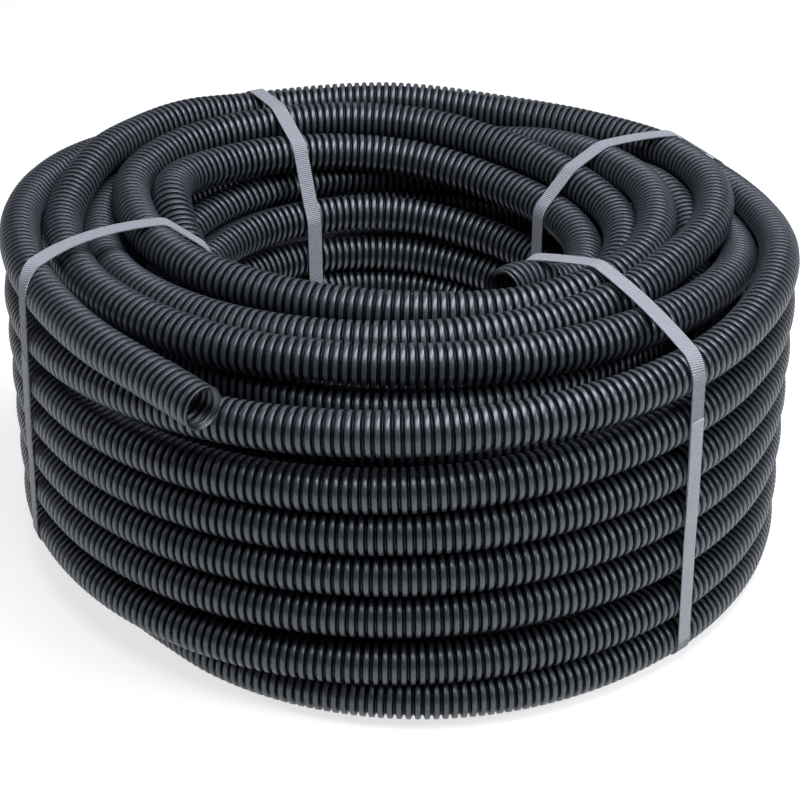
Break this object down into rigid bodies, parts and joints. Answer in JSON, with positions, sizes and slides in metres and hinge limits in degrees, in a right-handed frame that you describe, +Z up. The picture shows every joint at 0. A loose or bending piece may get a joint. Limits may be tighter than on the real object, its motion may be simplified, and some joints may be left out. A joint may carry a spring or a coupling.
{
  "type": "coil of corrugated conduit",
  "caption": "Coil of black corrugated plastic conduit lying flat, tied by woven grey straps, with both open ends at the top.",
  "frame": {"origin": "on the floor at the axis of the coil", "axes": "+Z up along the coil's axis, +X to the right, the outer free end at the front left (-X, -Y)"},
  "size_m": [0.62, 0.62, 0.2852],
  "materials": {
    "conduit": "satin",
    "strap": "woven"
  },
  "bodies": {
    "root": {"conduit": "conduit", "strap_left": "strap", "strap_front_right": "strap", "strap_back_left": "strap", "strap_back_right": "strap"}
  },
  "joints": []
}
